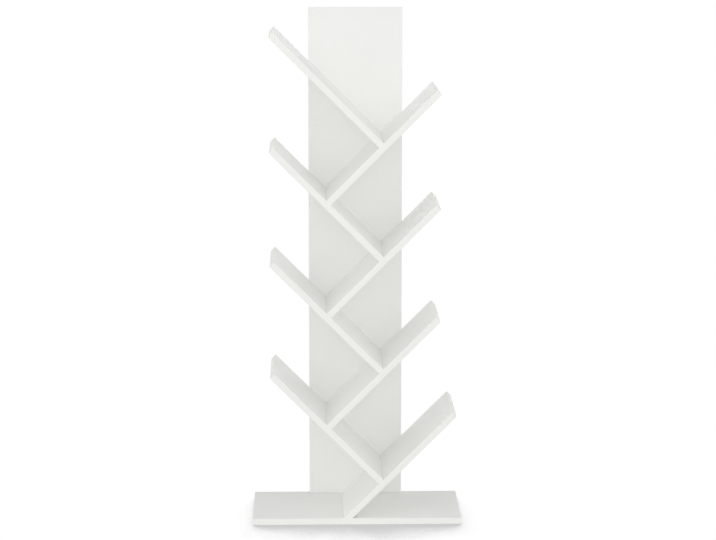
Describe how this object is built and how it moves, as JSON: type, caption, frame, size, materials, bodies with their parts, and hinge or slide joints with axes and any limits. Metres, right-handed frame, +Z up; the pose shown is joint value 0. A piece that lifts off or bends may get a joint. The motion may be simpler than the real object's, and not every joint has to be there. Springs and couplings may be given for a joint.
{
  "type": "tree bookshelf",
  "caption": "Free-standing tree shaped bookshelf: sloping shelves branch left and right, square on one another, in front of a narrow back panel on a flat base board.",
  "frame": {"origin": "on the floor, under the middle of the base board", "axes": "+Z up, +X to the right as seen from the front, front faces -Y, the back panel is at +Y"},
  "size_m": [0.4, 0.2, 0.975],
  "materials": {
    "white_board": "white melamine faced particle board, fine satin grain",
    "white_banding": "glued white edge banding, satin",
    "zinc_steel": "zinc plated",
    "beech": "plain fluted beech",
    "white_cover": "stick-on white foil disc"
  },
  "bodies": {
    "root": {"back_panel": "white_board", "back_panel_banding": "white_banding", "base_board": "white_board", "base_board_banding": "white_banding", "base_dowels": "beech", "base_screws": "zinc_steel", "foot_screws": "zinc_steel", "joint_dowels": "beech", "joint_screw_covers": "white_cover", "joint_screws": "zinc_steel", "panel_screws": "zinc_steel", "shelf_left_1": "white_board", "shelf_left_1_banding": "white_banding", "shelf_left_2": "white_board", "shelf_left_2_banding": "white_banding", "shelf_left_3": "white_board", "shelf_left_3_banding": "white_banding", "shelf_left_4": "white_board", "shelf_left_4_banding": "white_banding", "shelf_right_1": "white_board", "shelf_right_1_banding": "white_banding", "shelf_right_2": "white_board", "shelf_right_2_banding": "white_banding", "shelf_right_3": "white_board", "shelf_right_3_banding": "white_banding", "shelf_right_4": "white_board", "shelf_right_4_banding": "white_banding"}
  },
  "joints": []
}
